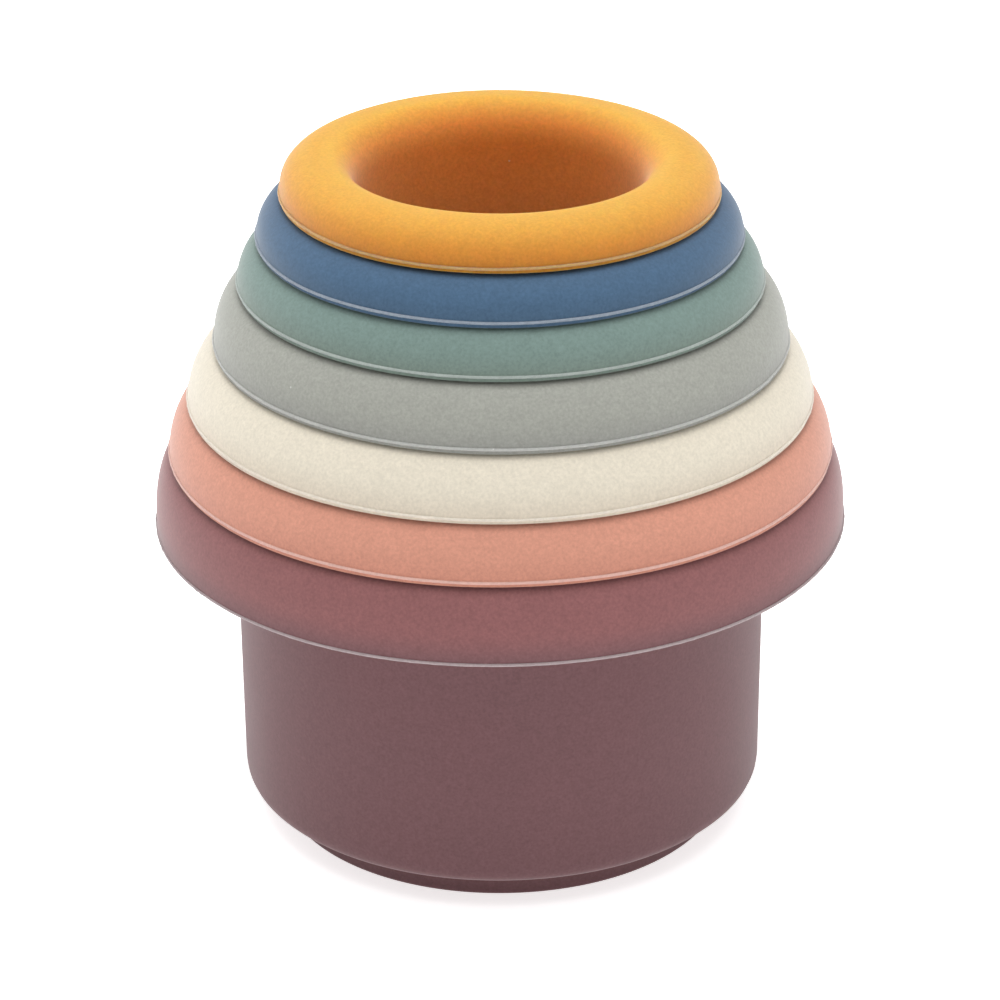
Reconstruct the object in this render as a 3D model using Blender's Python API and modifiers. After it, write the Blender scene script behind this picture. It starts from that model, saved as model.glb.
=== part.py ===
"""A nest of seven moulded silicone cups.

Every cup is one moulding: a stepped foot, a slightly tapered wall, and a wide domed rim that
curls outwards and down around the outside of the wall. In the nest each cup hangs by its rim:
the lower lip of the rim sits on the shoulder of the next larger cup's dome, so only the rims
show, as stepped bands of colour above the wall of the largest cup.

Metres, +Z up. The origin is the middle of the largest cup's flat underside.
"""

import math
from collections import namedtuple

import bpy

COLLECTION_NAME = "nesting_cups"

# The cups from the largest to the smallest. rim_radius is measured at the bottom edge of the
# rim's lip, and lip_z is that edge's height above the ground in the nest. fullness is the
# exponent of the dome's outer side: 2 is an ellipse, and more is boxier. Each cup sits a little
# askew inside the play between the walls: shift moves its foot along X, and lean tips it.
Cup = namedtuple("Cup", "name rim_radius lip_z fullness shift lean_degrees colour")
CUPS = [
    Cup("cup_1_mauve", 0.04516, 0.04115, 2.7, 0.0, 0.0, (0.205, 0.095, 0.098)),
    Cup("cup_2_coral", 0.04317, 0.05088, 1.9, 0.0, 0.15, (0.553, 0.257, 0.185)),
    Cup("cup_3_cream", 0.04055, 0.05810, 1.8, 0.0, 0.2, (0.648, 0.590, 0.490)),
    Cup("cup_4_grey", 0.03710, 0.06582, 2.1, 0.00012, 0.35, (0.306, 0.314, 0.285)),
    Cup("cup_5_sage", 0.03380, 0.07394, 1.8, 0.0001, 0.35, (0.167, 0.239, 0.216)),
    Cup("cup_6_blue", 0.03114, 0.07989, 2.0, 0.0001, 0.35, (0.062, 0.121, 0.204)),
    Cup("cup_7_mustard", 0.02802, 0.08565, 2.4, 0.0001, 0.4, (0.690, 0.325, 0.050)),
]

# Heights in the nest
FOOT_RISE = 0.0094          # each foot above the foot of the next larger cup
SEAT_GAP = 0.0003           # clearance between a lip and the dome that it sits on

# Walls
WALL_RADIUS = 0.03488       # outside of the largest cup's wall, level with its lip
WALL_RADIUS_STEP = 0.00230  # from one cup to the next smaller one
WALL_THICKNESS = 0.0019
WALL_TAPER = 0.0067         # radius lost for each metre of depth below the lip
FLOOR_THICKNESS = 0.0020
EDGE_ROUND = 0.0005
HEEL_ROUND = 0.0022         # where the wall turns in to the foot

# Stepped foot
FOOT_HEIGHT = 0.0041
FOOT_TO_WALL = 0.866        # foot radius over the wall radius above it

# Domed rim
DOME_SPREAD = 0.65          # share of the rim's width that lies outside its crest
DOME_INNER_DEPTH = 0.0078   # from the crest down to where the inside of the cup is upright
SMALLEST_DOME_HEIGHT = 0.0054
RIM_THICKNESS = 0.0022
LIP_HEIGHT = 0.0009         # upright land along the bottom of the rim
RIDGE_HEIGHT = 0.0007       # parting line of the mould, above the lip's bottom edge
RIDGE_DEPTH = 0.00025

SCREW_STEPS = 32
DOME_OUTER_ANGLES = (76, 63, 52, 42, 32, 22, 11)
DOME_INNER_ANGLES = (64, 38, 16)
HOLLOW_OUTER_ANGLES = (14, 38, 64)
HOLLOW_INNER_ANGLES = (28, 60)
HEEL_ANGLES = (0, 35, 65, 90)

Shape = namedtuple(
    "Shape",
    "name colour shift lean foot_z lip rim_radius crest_radius inner_radius wall_radius rise fullness",
)


def dome_height(radius, crest_radius, reach, rise, fullness):
    """Height of a dome's outer side at a radius, above the level where the side is upright."""
    across = (radius - crest_radius) / reach
    if across <= 0.0:
        return rise
    if across >= 1.0:
        return 0.0
    return rise * (1.0 - across ** fullness) ** (1.0 / fullness)


def cup_shape(index):
    """Work out one cup's radii and the height of its dome."""
    cup = CUPS[index]
    wall_radius = WALL_RADIUS - index * WALL_RADIUS_STEP
    inner_radius = wall_radius - WALL_THICKNESS
    reach = DOME_SPREAD * (cup.rim_radius - inner_radius)
    crest_radius = cup.rim_radius - reach
    if index + 1 < len(CUPS):
        # The next cup's lip touches the dome, apart from the gap, so that contact sets its height.
        smaller = CUPS[index + 1]
        seat = smaller.lip_z - cup.lip_z - LIP_HEIGHT
        share = dome_height(
            smaller.rim_radius, crest_radius, reach + SEAT_GAP, 1.0, cup.fullness
        )
        rise = seat / share - SEAT_GAP
    else:
        rise = SMALLEST_DOME_HEIGHT - LIP_HEIGHT
    foot_z = index * FOOT_RISE
    return Shape(
        name=cup.name,
        colour=cup.colour,
        shift=cup.shift,
        lean=math.radians(cup.lean_degrees),
        foot_z=foot_z,
        lip=cup.lip_z - foot_z,
        rim_radius=cup.rim_radius,
        crest_radius=crest_radius,
        inner_radius=inner_radius,
        wall_radius=wall_radius,
        rise=rise,
        fullness=cup.fullness,
    )


def seat_height(radius, shape, larger):
    """Height of the underside of the lip, which follows the dome that it sits on."""
    if larger is None:
        return shape.lip + 0.5 * (shape.rim_radius - radius)
    reach = larger.rim_radius - larger.crest_radius + SEAT_GAP
    rise = larger.rise + SEAT_GAP
    height = dome_height(radius, larger.crest_radius, reach, rise, larger.fullness)
    return larger.foot_z - shape.foot_z + larger.lip + LIP_HEIGHT + height


def inside_points(shape):
    """The inside of the cup, from the middle of the floor up to the crest of the rim."""
    wall_bottom = shape.inner_radius - WALL_TAPER * (shape.lip - FOOT_HEIGHT)
    foot_inside = FOOT_TO_WALL * (wall_bottom + WALL_THICKNESS) - WALL_THICKNESS
    step = FOOT_HEIGHT + FLOOR_THICKNESS
    crest = shape.lip + LIP_HEIGHT + shape.rise
    points = [
        (0.0, FLOOR_THICKNESS),
        (foot_inside - EDGE_ROUND, FLOOR_THICKNESS),
        (foot_inside, FLOOR_THICKNESS + EDGE_ROUND),
        (foot_inside, step),
        (wall_bottom - EDGE_ROUND, step),
        (wall_bottom, step + EDGE_ROUND),
        (shape.inner_radius, crest - DOME_INNER_DEPTH),
    ]
    for angle in DOME_INNER_ANGLES:
        turn = math.radians(angle)
        radius = shape.crest_radius - (shape.crest_radius - shape.inner_radius) * math.sin(turn)
        points.append((radius, crest - DOME_INNER_DEPTH * (1.0 - math.cos(turn))))
    points.append((shape.crest_radius, crest))
    return points


def dome_points(shape):
    """The outer side of the dome, the raised parting line and the lip's bottom edge."""
    reach = shape.rim_radius - shape.crest_radius
    power = 2.0 / shape.fullness
    points = []
    for angle in DOME_OUTER_ANGLES:
        turn = math.radians(angle)
        radius = shape.crest_radius + reach * math.cos(turn) ** power
        height = shape.lip + LIP_HEIGHT + shape.rise * math.sin(turn) ** power
        points.append((radius, height))
    points.append((shape.rim_radius, shape.lip + LIP_HEIGHT + 0.0004))
    points.append((shape.rim_radius + RIDGE_DEPTH, shape.lip + RIDGE_HEIGHT))
    points.append((shape.rim_radius, shape.lip + 0.0003))
    return points


def underside_points(shape, larger):
    """The underside of the lip and the hollow inside the rim, ending at the wall."""
    under_rise = LIP_HEIGHT + shape.rise - RIM_THICKNESS
    skirt = shape.rim_radius - RIM_THICKNESS
    power = 2.0 / shape.fullness
    points = []
    for share in (0.0, 0.5, 1.0):
        radius = shape.rim_radius - share * RIM_THICKNESS
        points.append((radius, seat_height(radius, shape, larger)))
    for angle in HOLLOW_OUTER_ANGLES:
        turn = math.radians(angle)
        radius = shape.crest_radius + (skirt - shape.crest_radius) * math.cos(turn) ** power
        height = shape.lip + under_rise * math.sin(turn) ** power
        points.append((radius, max(height, seat_height(radius, shape, larger))))
    crest_under = shape.lip + under_rise
    points.append((shape.crest_radius, crest_under))
    depth = DOME_INNER_DEPTH - RIM_THICKNESS
    for angle in HOLLOW_INNER_ANGLES + (90,):
        turn = math.radians(angle)
        radius = shape.crest_radius - (shape.crest_radius - shape.wall_radius) * math.sin(turn)
        points.append((radius, crest_under - depth * (1.0 - math.cos(turn))))
    return points


def foot_points(shape):
    """The bottom of the wall, the step in to the foot and the flat underside."""
    wall_bottom = shape.wall_radius - WALL_TAPER * (shape.lip - FOOT_HEIGHT)
    foot_radius = FOOT_TO_WALL * wall_bottom
    points = []
    for angle in HEEL_ANGLES:
        turn = math.radians(angle)
        radius = wall_bottom - HEEL_ROUND * (1.0 - math.cos(turn))
        points.append((radius, FOOT_HEIGHT + HEEL_ROUND * (1.0 - math.sin(turn))))
    points += [
        (foot_radius, FOOT_HEIGHT),
        (foot_radius, EDGE_ROUND),
        (foot_radius - EDGE_ROUND, 0.0),
        (0.0, 0.0),
    ]
    return points


def make_silicone(shape):
    """Matte silicone in the cup's own colour."""
    material = bpy.data.materials.new(shape.name.split("_")[-1] + "_silicone")
    material.use_nodes = True
    surface = material.node_tree.nodes["Principled BSDF"]
    surface.inputs["Base Color"].default_value = (*shape.colour, 1.0)
    surface.inputs["Roughness"].default_value = 0.62
    surface.inputs["Metallic"].default_value = 0.0
    return material


def make_cup(shape, larger, collection):
    """Turn the cup's profile about its own axis."""
    profile = inside_points(shape)
    profile += dome_points(shape)
    profile += underside_points(shape, larger)
    profile += foot_points(shape)
    mesh = bpy.data.meshes.new(shape.name)
    vertices = [(radius, 0.0, height) for radius, height in profile]
    edges = [(first, first + 1) for first in range(len(vertices) - 1)]
    mesh.from_pydata(vertices, edges, [])
    mesh.materials.append(make_silicone(shape))
    cup = bpy.data.objects.new(shape.name, mesh)
    cup.location = (shape.shift, 0.0, shape.foot_z)
    cup.rotation_euler = (0.0, shape.lean, 0.0)
    collection.objects.link(cup)

    screw = cup.modifiers.new("turned", "SCREW")
    screw.axis = "Z"
    screw.angle = 2.0 * math.pi
    screw.steps = SCREW_STEPS
    screw.render_steps = SCREW_STEPS
    screw.use_merge_vertices = True
    screw.merge_threshold = 0.00001
    screw.use_smooth_shade = True
    return cup


def clear_scene():
    for item in list(bpy.data.objects):
        bpy.data.objects.remove(item, do_unlink=True)


def main():
    clear_scene()
    collection = bpy.data.collections.new(COLLECTION_NAME)
    bpy.context.scene.collection.children.link(collection)
    larger = None
    for index in range(len(CUPS)):
        shape = cup_shape(index)
        make_cup(shape, larger, collection)
        larger = shape


main()
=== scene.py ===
"""Looks for a nest of seven moulded silicone cups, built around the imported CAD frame."""

import math
import random
from collections import namedtuple

import bpy
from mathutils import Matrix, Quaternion, Vector, noise


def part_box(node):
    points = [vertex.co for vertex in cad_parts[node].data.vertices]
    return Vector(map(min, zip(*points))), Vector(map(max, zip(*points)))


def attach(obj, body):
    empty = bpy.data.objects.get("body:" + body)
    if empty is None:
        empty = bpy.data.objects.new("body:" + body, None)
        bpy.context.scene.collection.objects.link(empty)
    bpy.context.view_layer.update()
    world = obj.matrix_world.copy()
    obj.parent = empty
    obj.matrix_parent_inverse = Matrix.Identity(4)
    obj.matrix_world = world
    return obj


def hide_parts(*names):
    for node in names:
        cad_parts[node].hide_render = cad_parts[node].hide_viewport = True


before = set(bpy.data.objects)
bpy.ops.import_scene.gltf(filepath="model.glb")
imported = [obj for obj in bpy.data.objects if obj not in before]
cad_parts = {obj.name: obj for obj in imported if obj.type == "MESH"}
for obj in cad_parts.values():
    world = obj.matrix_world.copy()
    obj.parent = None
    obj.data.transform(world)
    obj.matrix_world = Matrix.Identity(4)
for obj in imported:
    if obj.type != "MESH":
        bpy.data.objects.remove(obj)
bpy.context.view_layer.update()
MM = 0.001

# ---------------------------------------------------------------- cups, largest first
# Colours: colour is the dome's, and shaded is painted shade: the colour darkens to it over fade millimetres
# down to the lip and keeps it down the wall. throat is the colour just inside the rim, and hollow is the
# colour low down inside.
# Shape, in millimetres: line_up is the parting line's height above the lip's bottom edge,
# throat_depth is how far below the crest the inside turns upright, and wall is the thickness of
# the wall above the foot. fullness and throat_fullness are the exponents of the dome's outer and
# inner sides: 2 is an ellipse, and more is boxier.
# Shares: line_pale is the painted highlight of the parting line, how much paler its colour is made, and
# bleed is the light that scatters inside the silicone.
Cup = namedtuple(
    "Cup",
    "name colour deep throat hollow fullness line_up line_pale"
    " fade throat_fullness throat_depth wall bleed",
    defaults=(5.0, 2.0, 7.8, 1.9, 0.0),
)


def plain_cup(name, colour, deep, fullness, line_up, line_pale):
    """A cup whose inside is out of sight in the nest, and has one colour, its painted shade colour, all the
    way down inside.
    """
    return Cup(name, colour, deep, deep, deep, fullness, line_up, line_pale)


CUPS = [
    # the second colour of each cup is painted shade, put low on the dome and down the wall
    plain_cup("mauve", (0.236, 0.097, 0.098), (0.160, 0.079, 0.085), 2.7, 0.28, 0.22),
    plain_cup("coral", (0.565, 0.260, 0.185), (0.500, 0.215, 0.153), 1.9, 0.70, 0.20),
    plain_cup("cream", (0.655, 0.600, 0.495), (0.590, 0.515, 0.415), 1.8, 0.70, 0.16),
    plain_cup("grey", (0.312, 0.317, 0.283), (0.256, 0.258, 0.238), 2.1, 0.70, 0.20),
    plain_cup("sage", (0.167, 0.239, 0.216), (0.156, 0.202, 0.172), 1.8, 0.70, 0.20),
    plain_cup("blue", (0.060, 0.118, 0.200), (0.053, 0.098, 0.160), 2.0, 0.70, 0.20),
    Cup(
        name="mustard",
        colour=(0.655, 0.355, 0.058),
        deep=(0.530, 0.180, 0.022),
        # painted light: throat is a brighter orange just inside the rim; painted shade: hollow is darker
        # low down inside
        throat=(0.900, 0.360, 0.075),
        hollow=(0.560, 0.270, 0.090),
        fullness=2.4,
        line_up=0.70,
        line_pale=0.10,
        fade=7.5,
        throat_fullness=2.3,
        throat_depth=6.0,
        wall=2.7,
        bleed=0.7,
    ),
]

# ---------------------------------------------------------------- the moulding's shape, metres
WALL_RADIUS = 34.88 * MM    # outside of the largest cup's wall, level with its lip
WALL_RADIUS_STEP = 2.3 * MM
WALL = 1.9 * MM             # thickness of the CAD solids' walls
TAPER = 0.0067              # radius lost for each metre of depth below the lip
FLOOR = 2.0 * MM
FOOT_HEIGHT = 4.1 * MM
FOOT_TO_WALL = 0.866        # foot radius over the wall radius above it
HEEL_ROUND = 2.4 * MM       # where the wall turns in to the foot
CORNER_ROUND = 1.3 * MM     # where the inside of the cup meets its floor and its step
STEP_ROUND = 0.7 * MM
FOOT_CORNER_ROUND = 0.5 * MM
FOOT_EDGE_ROUND = 0.6 * MM

DOME_SPREAD = 0.65          # share of the rim's width that lies outside the dome's crest
RIM = 2.2 * MM              # thickness of the rim
RIM_INNER_DEPTH = 7.8 * MM  # from the crest down to where the rim's inner side meets the wall
LIP_LAND = 0.9 * MM         # upright land along the bottom of the rim
LIP_EDGE_START = 0.55 * MM  # height on the land at which its bottom edge begins to round
LIP_EDGE_CORNER = 0.02 * MM
LIP_EDGE_ROUND = 0.3 * MM
SEAT_GAP = 0.3 * MM         # clearance between a lip and the dome that it sits on
RIDGE_UP = 0.7 * MM         # the CAD solids' parting line above the lip's bottom edge
RIDGE_OUT = 0.25 * MM

RING_MARGIN = 0.05 * MM     # the widest ring's points are this close to the largest reach
SWELL = 0.05 * MM           # unevenness of the walls
RIM_LIFT = 0.06 * MM        # unevenness of the rim's height
LIFT_START = 2.0 * MM       # below the lip, where that unevenness begins
SWELL_SCALE = 60.0

# ---------------------------------------------------------------- how finely it is turned
AROUND = 224
RIDGE_AROUND = 900
RIDGE_SECTION = 8
INNER_STEPS = 25
OUTER_STEPS = 24
SKIRT_STEPS = 10
JOIN_STEPS = 8
LONGEST_STEP = 3.0 * MM
SHARP_ANGLE = math.radians(50)

# ---------------------------------------------------------------- how the colours run, metres
# painted shade: from here down, the outside has its darkest, shaded colour
FADE_BELOW_LIP = 0.5 * MM   # the outside is at its deepest from here down
# painted light inside the crest down to this depth (brighter in the mustard cup), then painted shade down
# to the hollow depth
THROAT_FADE = 2.5 * MM      # depth below the crest at which the inside has its throat colour
HOLLOW_FADE = 16.0 * MM     # depth at which it has its hollow colour
CREST_BLEND = 1.0 * MM      # half the width over which inside and outside colours meet


# ---------------------------------------------------------------- shape of one cup
def cup_shape(index):
    """Read one cup's axis, place and heights from its CAD node, and work out its radii.

    The parting line is the widest ring of the node. A level line fitted through that ring
    gives the way that the cup leans, and its middle is a point on the cup's axis.
    """
    cup = CUPS[index]
    node = f"cup_{index + 1}_{cup.name}"
    points = [vertex.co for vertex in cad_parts[node].data.vertices]
    low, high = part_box(node)
    middle = Vector(((low[0] + high[0]) / 2, (low[1] + high[1]) / 2, 0.0))
    reach_of = [(point - middle).xy.length for point in points]
    widest = max(reach_of)
    ring = [point - middle for point, away in zip(points, reach_of) if away > widest - RING_MARGIN]
    level = sum(point.z for point in ring) / len(ring)
    slope_x = sum(point.x * (point.z - level) for point in ring) / sum(point.x ** 2 for point in ring)
    slope_y = sum(point.y * (point.z - level) for point in ring) / sum(point.y ** 2 for point in ring)
    axis = Vector((-slope_x, -slope_y, 1.0)).normalized()
    on_axis = Vector((middle.x, middle.y, level))
    heights = [(point - on_axis).dot(axis) for point in points]
    foot = min(heights)
    rim_radius = widest - RIDGE_OUT
    wall_radius = WALL_RADIUS - index * WALL_RADIUS_STEP
    reach = DOME_SPREAD * (rim_radius - wall_radius + WALL)
    lip = -foot - RIDGE_UP
    crest = max(heights) - foot
    return {
        "name": cup.name,
        "node": node,
        "colour": cup.colour,
        "deep": cup.deep,
        "throat": cup.throat,
        "hollow": cup.hollow,
        "fade": cup.fade * MM,
        "line_up": cup.line_up * MM,
        "line_pale": cup.line_pale,
        "bleed": cup.bleed,
        "axis": axis,
        "foot": on_axis + axis * foot,
        "lip": lip,
        "rim_radius": rim_radius,
        "crest_radius": rim_radius - reach,
        "reach": reach,
        "inner_radius": wall_radius - cup.wall * MM,
        "wall_radius": wall_radius,
        "crest": crest,
        "rise": crest - lip - LIP_LAND,
        "fullness": cup.fullness,
        "throat_fullness": cup.throat_fullness,
        "throat_depth": cup.throat_depth * MM,
        "wall": cup.wall * MM,
    }


def dome_height(radius, crest_radius, reach, rise, fullness):
    """Height of a dome's outer side at a radius, above the level where the side is upright."""
    across = (radius - crest_radius) / reach
    if across <= 0.0:
        return rise
    if across >= 1.0:
        return 0.0
    return rise * (1.0 - across ** fullness) ** (1.0 / fullness)


def seat_height(radius, shape, larger):
    """Underside of the lip: it follows the dome of the next larger cup."""
    if larger is None:
        return shape["lip"] + 0.5 * (shape["rim_radius"] - radius)
    reach = larger["reach"] + SEAT_GAP
    rise = larger["rise"] + SEAT_GAP
    height = dome_height(radius, larger["crest_radius"], reach, rise, larger["fullness"])
    drop = larger["foot"].z - shape["foot"].z
    return drop + larger["lip"] + LIP_LAND + height


def fillet(before, corner, after, radius, count=5):
    """Points of a short arc that rounds one corner of the profile."""
    corner_v = Vector(corner)
    arm_in = Vector(before) - corner_v
    arm_out = Vector(after) - corner_v
    way_in = arm_in.normalized()
    way_out = arm_out.normalized()
    half = math.acos(max(-1.0, min(1.0, way_in.dot(way_out)))) / 2
    if half > math.radians(88):
        return [corner]
    cut = min(radius / math.tan(half), 0.45 * arm_in.length, 0.45 * arm_out.length)
    start = corner_v + way_in * cut
    end = corner_v + way_out * cut
    points = []
    for step in range(count + 1):
        t = step / count
        point = start * (1 - t) ** 2 + corner_v * 2 * t * (1 - t) + end * t ** 2
        points.append((point.x, point.y))
    return points


def rounded_line(corners):
    """An open line through (radius, height, fillet) corners, with each corner rounded."""
    points = [corners[0][:2]]
    for before, corner, after in zip(corners, corners[1:], corners[2:]):
        if corner[2] > 0:
            points += fillet(before[:2], corner[:2], after[:2], corner[2])
        else:
            points.append(corner[:2])
    points.append(corners[-1][:2])
    return points


def subdivided(points):
    """Add points so that no step along the profile is long."""
    result = [points[0]]
    for start, end in zip(points, points[1:]):
        length = math.dist(start, end)
        count = max(1, math.ceil(length / LONGEST_STEP))
        for step in range(1, count + 1):
            t = step / count
            result.append((start[0] + (end[0] - start[0]) * t, start[1] + (end[1] - start[1]) * t))
    return result


def inside_points(shape, inner_bottom, foot_radius):
    """The inside of the cup, from the middle of the floor up to the crest of the rim."""
    foot_inside = foot_radius - WALL
    step = FOOT_HEIGHT + FLOOR
    crest = shape["crest"]
    crest_radius = shape["crest_radius"]
    inner_radius = shape["inner_radius"]
    throat_depth = shape["throat_depth"]
    points = rounded_line([
        (0.0, FLOOR, 0),
        (foot_inside, FLOOR, CORNER_ROUND),
        (foot_inside, step, STEP_ROUND),
        (inner_bottom, step, CORNER_ROUND),
        (inner_radius, crest - throat_depth, 0),
    ])
    power = 2.0 / shape["throat_fullness"]
    for count in range(1, INNER_STEPS):
        turn = math.radians(90 - 90 * count / INNER_STEPS)
        across = (crest_radius - inner_radius) * math.sin(turn) ** power
        points.append((crest_radius - across, crest - throat_depth * (1.0 - math.cos(turn) ** power)))
    points.append((crest_radius, crest))
    return points


def dome_points(shape):
    """The outer side of the dome, from next to the crest down to the top of the lip's land."""
    base = shape["lip"] + LIP_LAND
    power = 2.0 / shape["fullness"]
    points = []
    for count in range(1, OUTER_STEPS + 1):
        turn = math.radians(90 - 90 * count / OUTER_STEPS)
        radius = shape["crest_radius"] + shape["reach"] * math.cos(turn) ** power
        points.append((radius, base + shape["rise"] * max(0.0, math.sin(turn)) ** power))
    return points


def lip_points(shape, larger):
    """The lip's land and its rounded bottom edge, ending halfway along its seat."""
    lip = shape["lip"]
    edge = shape["rim_radius"]
    seat_in = edge - 0.5 * RIM
    start = (edge, lip + LIP_EDGE_START)
    seat = (seat_in, seat_height(seat_in, shape, larger))
    points = [start]
    points += fillet(start, (edge, lip + LIP_EDGE_CORNER), seat, LIP_EDGE_ROUND, 6)
    points.append(seat)
    return points


def underside_points(shape, larger):
    """The rest of the seat and the hollow under the rim, up to the outside of the wall."""
    lip = shape["lip"]
    crest = shape["crest"]
    crest_radius = shape["crest_radius"]
    power = 2.0 / shape["fullness"]
    under_rise = crest - lip - RIM
    skirt = shape["rim_radius"] - RIM
    points = [(skirt, seat_height(skirt, shape, larger))]
    for count in range(1, SKIRT_STEPS + 1):
        turn = math.radians(90 * count / SKIRT_STEPS)
        radius = crest_radius + (skirt - crest_radius) * max(0.0, math.cos(turn)) ** power
        height = lip + under_rise * math.sin(turn) ** power
        points.append((radius, max(height, seat_height(radius, shape, larger))))
    depth = RIM_INNER_DEPTH - RIM
    for count in range(1, JOIN_STEPS + 1):
        turn = math.radians(90 * count / JOIN_STEPS)
        radius = crest_radius - (crest_radius - shape["wall_radius"]) * math.sin(turn)
        points.append((radius, crest - RIM - depth * (1.0 - math.cos(turn))))
    return points


def cup_profile(shape, larger):
    """The whole closed section of one cup, from the middle of the floor round to the underside."""
    inner_bottom = shape["inner_radius"] - TAPER * (shape["lip"] - FOOT_HEIGHT)
    wall_bottom = inner_bottom + shape["wall"]
    foot_radius = FOOT_TO_WALL * wall_bottom
    points = inside_points(shape, inner_bottom, foot_radius)
    points += dome_points(shape)
    points += lip_points(shape, larger)
    points += underside_points(shape, larger)
    outside = rounded_line([
        (*points[-1], 0),
        (wall_bottom, FOOT_HEIGHT, HEEL_ROUND),
        (foot_radius, FOOT_HEIGHT, FOOT_CORNER_ROUND),
        (foot_radius, 0.0, FOOT_EDGE_ROUND),
        (0.0, 0.0, 0),
    ])
    points += outside[1:]
    return subdivided(points)


# ---------------------------------------------------------------- meshes
def new_object(name, vertices, faces, material):
    mesh = bpy.data.meshes.new(name)
    mesh.from_pydata(vertices, [], faces)
    mesh.validate()
    mesh.materials.append(material)
    mesh.shade_smooth()
    mesh.set_sharp_from_angle(angle=SHARP_ANGLE)
    thing = bpy.data.objects.new(name, mesh)
    bpy.context.scene.collection.objects.link(thing)
    return thing


def stand(thing, shape):
    """Put a cup's mesh on its foot, leaning as the cup does."""
    thing.location = shape["foot"]
    thing.rotation_mode = "QUATERNION"
    thing.rotation_quaternion = Vector((0.0, 0.0, 1.0)).rotation_difference(shape["axis"])


def wobble(direction, height, seed, scale):
    """Soft, low unevenness of a demoulded wall, without a jump where the turn closes."""
    spot = Vector((direction[0] * 1.3 + seed, direction[1] * 1.3, height * scale))
    return noise.noise(spot)


def rim_lift(direction, seed):
    """How far the rim rides up or down at one place round the cup."""
    return RIM_LIFT * wobble(direction, 0.0, seed + 7.0, 1.0)


def make_cup(shape, larger, seed, material):
    """Turn the section into a closed mesh, with the slight unevenness of soft silicone."""
    profile = cup_profile(shape, larger)
    inner = profile[1:-1]
    vertices = [(0.0, 0.0, profile[0][1])]
    rows = len(inner)
    for column in range(AROUND):
        angle = 2 * math.pi * column / AROUND
        direction = (math.cos(angle), math.sin(angle))
        lift_here = rim_lift(direction, seed)
        for radius, height in inner:
            swollen = radius + SWELL * wobble(direction, height, seed, SWELL_SCALE)
            lift = lift_here if height > shape["lip"] - LIFT_START else 0.0
            vertices.append((swollen * direction[0], swollen * direction[1], height + lift))
    vertices.append((0.0, 0.0, profile[-1][1]))
    last = len(vertices) - 1
    faces = []
    for column in range(AROUND):
        here = 1 + column * rows
        there = 1 + (column + 1) % AROUND * rows
        faces.append((0, here, there))
        for row in range(rows - 1):
            faces.append((here + row, here + row + 1, there + row + 1, there + row))
        faces.append((here + rows - 1, last, there + rows - 1))
    cup = new_object(f"{shape['name']}_cup_moulding", vertices, faces, material)
    stand(cup, shape)
    return cup


# ---------------------------------------------------------------- parting line, millimetres
BURRS = 26
BURR_WIDTH = (0.004, 0.012)     # half-widths, in radians round the cup
BURR_SIZE = (0.05, 0.16)
BURR_HEIGHT = 0.6               # share of its size that a burr adds
RIDGE_REACH = 0.20
RIDGE_REACH_MOST = 0.33
RIDGE_WAVE = 0.05
RIDGE_DRIFT = 0.06
RIDGE_ROOT = 0.35               # how far the line is sunk into the rim
RIDGE_HALF_HEIGHT = 0.19


def ridge_reach(angle, direction, seed, burrs):
    """How far the parting line stands out of the rim at one place, with its burrs."""
    spot = Vector((direction[0] * 9, direction[1] * 9, seed * 3.1))
    fine = Vector((direction[0] * 55, direction[1] * 55, seed * 1.7))
    out = RIDGE_REACH + RIDGE_WAVE * noise.noise(spot) + RIDGE_WAVE * noise.noise(fine)
    for middle, width, size in burrs:
        away = abs((angle - middle + math.pi) % (2 * math.pi) - math.pi)
        if away < width:
            out += size * (1 - away / width) * BURR_HEIGHT
    return min(out, RIDGE_REACH_MOST)


def make_ridge(shape, seed, material):
    """The thin raised line left where the mould's two halves meet, with its small burrs."""
    rng = random.Random(seed)
    burrs = []
    for _ in range(BURRS):
        middle = rng.uniform(0, 2 * math.pi)
        burrs.append((middle, rng.uniform(*BURR_WIDTH), rng.uniform(*BURR_SIZE)))
    vertices = []
    for column in range(RIDGE_AROUND):
        angle = 2 * math.pi * column / RIDGE_AROUND
        direction = (math.cos(angle), math.sin(angle))
        out = ridge_reach(angle, direction, seed, burrs)
        drift = RIDGE_DRIFT * MM * noise.noise(Vector((direction[0] * 2, direction[1] * 2, seed)))
        up = shape["lip"] + shape["line_up"] + drift + rim_lift(direction, seed)
        for part in range(RIDGE_SECTION):
            turn = 2 * math.pi * part / RIDGE_SECTION
            across = math.cos(turn)
            sideways = out if across > 0 else RIDGE_ROOT
            radius = shape["rim_radius"] + sideways * across * MM
            tall = (RIDGE_HALF_HEIGHT + RIDGE_WAVE * out) * math.sin(turn) * MM
            vertices.append((radius * direction[0], radius * direction[1], up + tall))
    faces = []
    for column in range(RIDGE_AROUND):
        here = column * RIDGE_SECTION
        there = (column + 1) % RIDGE_AROUND * RIDGE_SECTION
        for part in range(RIDGE_SECTION):
            following = (part + 1) % RIDGE_SECTION
            faces.append((here + part, there + part, there + following, here + following))
    ridge = new_object(f"{shape['name']}_mould_line", vertices, faces, material)
    stand(ridge, shape)
    return ridge


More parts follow.
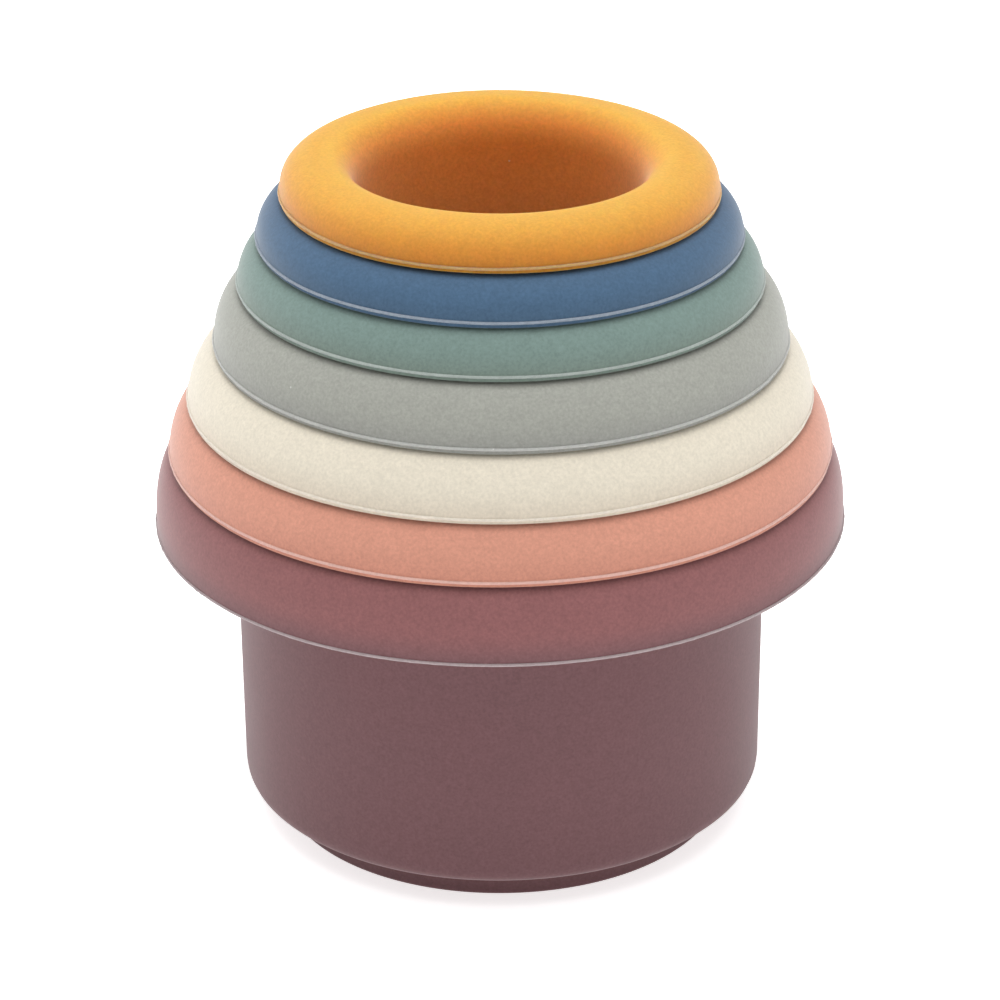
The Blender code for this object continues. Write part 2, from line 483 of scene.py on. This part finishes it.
# ---------------------------------------------------------------- shader building blocks
class Graph:
    """Short names for the shader nodes that the materials and the light tent are made of."""

    def __init__(self, tree):
        self.nodes = tree.nodes
        self.links = tree.links

    def add(self, kind):
        return self.nodes.new("ShaderNode" + kind)

    def link(self, output, socket):
        self.links.new(output, socket)

    def noise(self, place, scale, detail, roughness=0.5):
        node = self.add("TexNoise")
        node.inputs["Scale"].default_value = scale
        node.inputs["Detail"].default_value = detail
        node.inputs["Roughness"].default_value = roughness
        self.link(place, node.inputs["Vector"])
        return node.outputs["Fac"]

    def ramp(self, source, low, high, start, end, smooth=False):
        """Map low..high to start..end, and hold the ends beyond that."""
        node = self.add("MapRange")
        node.inputs["From Min"].default_value = low
        node.inputs["From Max"].default_value = high
        node.inputs["To Min"].default_value = start
        node.inputs["To Max"].default_value = end
        if smooth:
            node.interpolation_type = "SMOOTHSTEP"
        self.link(source, node.inputs["Value"])
        return node.outputs["Result"]

    def math(self, operation, first, second):
        """A Math node; second is a constant or another node's output."""
        node = self.add("Math")
        node.operation = operation
        self.link(first, node.inputs[0])
        if isinstance(second, float):
            node.inputs[1].default_value = second
        else:
            self.link(second, node.inputs[1])
        return node.outputs["Value"]

    def mix(self, factor, first, second):
        """Blend two colours; each is a constant or another node's output."""
        node = self.add("Mix")
        node.data_type = "RGBA"
        self.link(factor, node.inputs["Factor"])
        for colour, socket in ((first, node.inputs["A"]), (second, node.inputs["B"])):
            if isinstance(colour, tuple):
                socket.default_value = (*colour, 1.0)
            else:
                self.link(colour, socket)
        return node.outputs["Result"]


# ---------------------------------------------------------------- materials
NOISE_LOW = 0.3             # the part of a noise's range that its effects are spread over
NOISE_HIGH = 0.7
BLOTCH_SCALE = 90.0
MOTTLE_SCALE = 900.0
GRAIN_SCALE = 2600.0
BLOTCH_SPREAD = 0.017
MOTTLE_TO_GRAIN = 0.3
GRAIN_SPREAD_LEAST = 0.04
GRAIN_SPREAD_WITH_DARKNESS = 0.075
DUST_SCALE = 240.0
DUST_SIZE = 0.035
DUST_SHARE = 0.10
DUST_PALE = 0.30
DUST_COLOUR = 0.9
BLEED_RADIUS = (1.0, 0.45, 0.15)
BLEED_SCALE = 3.5 * MM


def paler(colour, share):
    return tuple(channel + (1 - channel) * share for channel in colour)


def colour_with_painted_light(graph, place, shape, painted_highlight):
    """The silicone's colour with painted shade and painted light: darker from the dome down to the lip and
    down the wall, and inside brighter just below the crest and darker low down.
    """
    # for the parting line every colour here is made paler: a painted highlight
    base = paler(shape["colour"], painted_highlight)
    deep = paler(shape["deep"], painted_highlight)
    throat = paler(shape["throat"], painted_highlight)
    hollow = paler(shape["hollow"], painted_highlight)
    crest = shape["crest"]
    crest_radius = shape["crest_radius"]

    split = graph.add("SeparateXYZ")
    graph.link(place, split.inputs["Vector"])
    height = split.outputs["Z"]
    low = shape["lip"] - FADE_BELOW_LIP
    # painted shade: the outside darkens from the dome down to the lip and stays dark down the wall
    outside = graph.mix(graph.ramp(height, low, low + shape["fade"], 0.0, 1.0, smooth=True), deep, base)
    # inside: painted light just below the crest, fading to painted shade low down
    well = graph.mix(graph.ramp(height, crest - HOLLOW_FADE, crest - THROAT_FADE, 0.0, 1.0), hollow, throat)
    inside = graph.mix(graph.ramp(height, crest - THROAT_FADE, crest, 0.0, 1.0), well, base)

    level = graph.add("VectorMath")
    level.operation = "MULTIPLY"
    level.inputs[1].default_value = (1.0, 1.0, 0.0)
    graph.link(place, level.inputs[0])
    length = graph.add("VectorMath")
    length.operation = "LENGTH"
    graph.link(level.outputs["Vector"], length.inputs[0])
    from_axis = length.outputs["Value"]
    past_crest = graph.ramp(from_axis, crest_radius - CREST_BLEND, crest_radius + CREST_BLEND, 0.0, 1.0)

    # below the rim's own thickness, anything past the middle of the wall is outside
    mid_wall = (shape["inner_radius"] + shape["wall_radius"]) / 2
    past_wall = graph.math("GREATER_THAN", from_axis, mid_wall)
    below_rim = graph.math("LESS_THAN", height, crest - RIM)
    under_rim = graph.math("MULTIPLY", past_wall, below_rim)
    return graph.mix(graph.math("MAXIMUM", past_crest, under_rim), inside, outside)


def dust_specks(graph, place):
    """Stray dust: a few cells of a fine Voronoi pattern carry a speck."""
    cells = graph.add("TexVoronoi")
    cells.inputs["Scale"].default_value = DUST_SCALE
    graph.link(place, cells.inputs["Vector"])
    near = graph.math("LESS_THAN", cells.outputs["Distance"], DUST_SIZE)
    pick = graph.add("SeparateColor")
    graph.link(cells.outputs["Color"], pick.inputs["Color"])
    chosen = graph.math("GREATER_THAN", pick.outputs["Red"], 1.0 - DUST_SHARE)
    return graph.math("MULTIPLY", near, chosen)


def silicone(name, shape, seed, painted_highlight=0.0):
    """Matte moulded silicone: mottled colour, fine grain, a dusty sheen and stray dust specks."""
    material = bpy.data.materials.new(name)
    material.use_nodes = True
    graph = Graph(material.node_tree)
    surface = graph.nodes["Principled BSDF"]
    surface.inputs["Metallic"].default_value = 0.0
    surface.inputs["IOR"].default_value = 1.43
    surface.inputs["Specular IOR Level"].default_value = 0.2
    surface.inputs["Sheen Weight"].default_value = 0.27
    surface.inputs["Sheen Roughness"].default_value = 0.45
    surface.inputs["Subsurface Weight"].default_value = shape["bleed"]
    surface.inputs["Subsurface Radius"].default_value = BLEED_RADIUS
    surface.inputs["Subsurface Scale"].default_value = BLEED_SCALE

    place = graph.add("TexCoord").outputs["Object"]
    mapping = graph.add("Mapping")
    mapping.inputs["Location"].default_value = (seed * 0.37, seed * 0.11, seed * 0.23)
    graph.link(place, mapping.inputs["Vector"])
    shifted = mapping.outputs["Vector"]

    def around_one(noise_output, spread):
        return graph.ramp(noise_output, NOISE_LOW, NOISE_HIGH, 1.0 - spread, 1.0 + spread)

    base = paler(shape["colour"], painted_highlight)
    darkness = 1.0 - sum(base) / 3
    grain_spread = GRAIN_SPREAD_LEAST + GRAIN_SPREAD_WITH_DARKNESS * darkness
    cloudy = graph.noise(shifted, BLOTCH_SCALE, 3.0)
    pebbled = graph.noise(shifted, MOTTLE_SCALE, 2.0)
    grain = graph.noise(shifted, GRAIN_SCALE, 2.0, 0.6)
    blotch = around_one(cloudy, BLOTCH_SPREAD)
    mottle = around_one(pebbled, MOTTLE_TO_GRAIN * grain_spread)
    speckle = around_one(grain, grain_spread)
    brightness = graph.math("MULTIPLY", graph.math("MULTIPLY", blotch, mottle), speckle)

    tint = graph.add("Mix")
    tint.data_type = "RGBA"
    tint.blend_type = "MULTIPLY"
    tint.inputs["Factor"].default_value = 1.0
    # the base colour carries the painted shade and painted light made above
    graph.link(colour_with_painted_light(graph, place, shape, painted_highlight), tint.inputs["A"])
    graph.link(brightness, tint.inputs["B"])

    pale = tuple(channel + (DUST_COLOUR - channel) * DUST_PALE for channel in base)
    dusted = graph.mix(dust_specks(graph, shifted), tint.outputs["Result"], pale)
    graph.link(dusted, surface.inputs["Base Color"])
    rough = graph.ramp(cloudy, NOISE_LOW, NOISE_HIGH, 0.72, 0.80)
    graph.link(rough, surface.inputs["Roughness"])

    fine = graph.add("Bump")
    fine.inputs["Strength"].default_value = 0.35
    fine.inputs["Distance"].default_value = 0.04 * MM
    graph.link(grain, fine.inputs["Height"])
    graph.link(fine.outputs["Normal"], surface.inputs["Normal"])
    return material


def floor_material():
    """The white floor of a light table: very slightly uneven, and lit from beneath."""
    material = bpy.data.materials.new("studio_paper")
    material.use_nodes = True
    graph = Graph(material.node_tree)
    surface = graph.nodes["Principled BSDF"]
    surface.inputs["Roughness"].default_value = 0.9
    surface.inputs["Specular IOR Level"].default_value = 0.2
    surface.inputs["Emission Color"].default_value = (1.0, 1.0, 1.0, 1.0)
    surface.inputs["Emission Strength"].default_value = 0.70
    grain = graph.add("TexNoise")
    grain.inputs["Scale"].default_value = 40.0
    shade = graph.ramp(grain.outputs["Fac"], 0.0, 1.0, 0.93, 0.97)
    graph.link(shade, surface.inputs["Base Color"])
    return material


# ---------------------------------------------------------------- build the cups
shapes = [cup_shape(index) for index in range(len(CUPS))]
larger = None
for index, shape in enumerate(shapes):
    body = f"{shape['name']}_cup"
    slot = f"{shape['name']}_silicone"
    skin = silicone(slot + "_skin", shape, index + 1)
    # painted highlight: the parting line's skin is made paler, as where the line catches the light
    highlight_skin = silicone(slot + "_edge", shape, index + 21, painted_highlight=shape["line_pale"])
    moulding = make_cup(shape, larger, index * 3.7, skin)
    mould_line = make_ridge(shape, index + 1, highlight_skin)
    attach(moulding, body)
    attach(mould_line, body)
    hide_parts(shape["node"])
    larger = shape

# ---------------------------------------------------------------- floor
FLOOR_HALF = 3.0
FLOOR_CORNERS = [
    (-FLOOR_HALF, -FLOOR_HALF, 0),
    (FLOOR_HALF, -FLOOR_HALF, 0),
    (FLOOR_HALF, FLOOR_HALF, 0),
    (-FLOOR_HALF, FLOOR_HALF, 0),
]
floor = new_object("studio_floor", FLOOR_CORNERS, [(0, 1, 2, 3)], floor_material())

# ---------------------------------------------------------------- light
# Each lobe is a soft bright area of a light tent, as (middle, tightness, strength).
TENT = [
    ((0.0, 0.0, 1.0), 4.0, 1.17),
    ((0.0, 0.0, 1.0), 20.0, 10.1),
    ((1.0, 0.0, 0.35), 6.0, 0.50),
    ((-1.0, 0.8, 0.3), 8.0, 1.56),
]


def light_tent(lobes):
    """A world whose brightness is the sum of the lobes, by direction."""
    world = bpy.data.worlds.new("light_tent")
    world.use_nodes = True
    graph = Graph(world.node_tree)
    direction = graph.add("TexCoord").outputs["Generated"]
    total = None
    for middle, tightness, strength in lobes:
        facing = graph.add("VectorMath")
        facing.operation = "DOT_PRODUCT"
        facing.inputs[1].default_value = Vector(middle).normalized()
        graph.link(direction, facing.inputs[0])
        front = graph.math("MAXIMUM", facing.outputs["Value"], 0.0)
        falloff = graph.math("POWER", front, tightness)
        amount = graph.math("MULTIPLY", falloff, strength)
        total = amount if total is None else graph.math("ADD", amount, total)
    background = graph.nodes["Background"]
    background.inputs["Color"].default_value = (1.0, 1.0, 1.0, 1.0)
    graph.link(total, background.inputs["Strength"])
    return world


bpy.context.scene.world = light_tent(TENT)

# ---------------------------------------------------------------- camera
CAMERA_LENS = 140.3
SENSOR_WIDTH = 36.0
CAMERA_DISTANCE = 0.5143
CAMERA_ELEVATION = math.radians(25.16)
CAMERA_ROLL = math.radians(-0.51)
AIM_ABOVE_LARGEST_LIP = 1.3 * MM

camera_data = bpy.data.cameras.new("camera")
camera_data.lens = CAMERA_LENS
camera_data.sensor_width = SENSOR_WIDTH
camera_data.clip_start = 0.01
camera_data.clip_end = 20.0
camera = bpy.data.objects.new("camera", camera_data)
aim = shapes[0]["foot"] + Vector((0.0, 0.0, shapes[0]["lip"] + AIM_ABOVE_LARGEST_LIP))
back = Vector((0.0, -math.cos(CAMERA_ELEVATION), math.sin(CAMERA_ELEVATION)))
camera.location = aim + back * CAMERA_DISTANCE
camera.rotation_mode = "QUATERNION"
camera.rotation_quaternion = (-back).to_track_quat("-Z", "Y") @ Quaternion((0, 0, 1), CAMERA_ROLL)
bpy.context.scene.collection.objects.link(camera)
bpy.context.scene.camera = camera
bpy.context.scene.view_settings.view_transform = "Standard"
